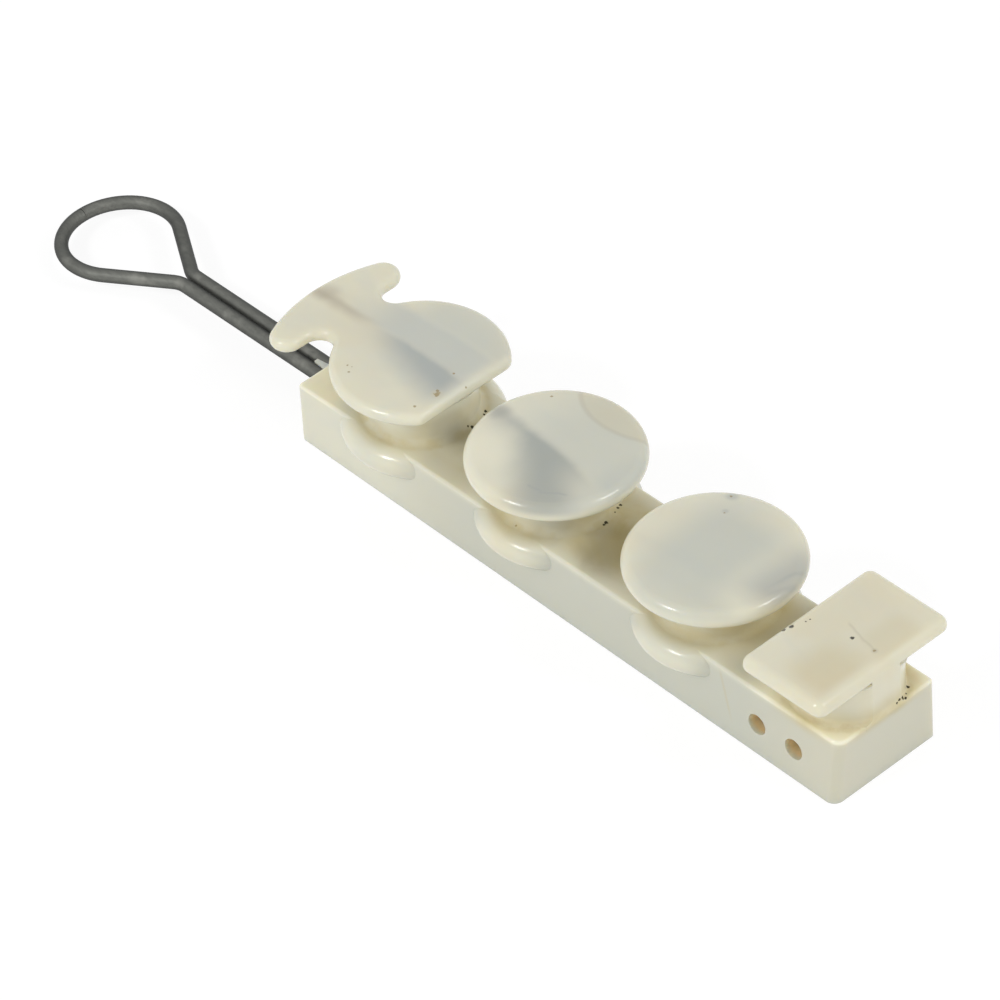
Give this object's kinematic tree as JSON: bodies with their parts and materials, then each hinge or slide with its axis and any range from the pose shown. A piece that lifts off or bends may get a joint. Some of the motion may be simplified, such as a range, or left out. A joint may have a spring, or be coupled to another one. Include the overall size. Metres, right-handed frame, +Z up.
{
  "type": "drop cable clamp",
  "caption": "Moulded drop cable clamp: a slim bar with round capped posts and a T post, cross holes at one end and a steel wire bail at the other.",
  "frame": {"origin": "middle of the bar's flat underside", "axes": "+X along the bar from the wire bail towards the T post, +Y across the bar, +Z up through the posts"},
  "size_m": [0.1846, 0.0286, 0.0232],
  "materials": {
    "body_plastic": "soft gloss, aged ivory",
    "bail_wire": "dull dark grey, weathered"
  },
  "bodies": {
    "root": {"clamp_body": "body_plastic", "wire_bail": "bail_wire"}
  },
  "joints": []
}
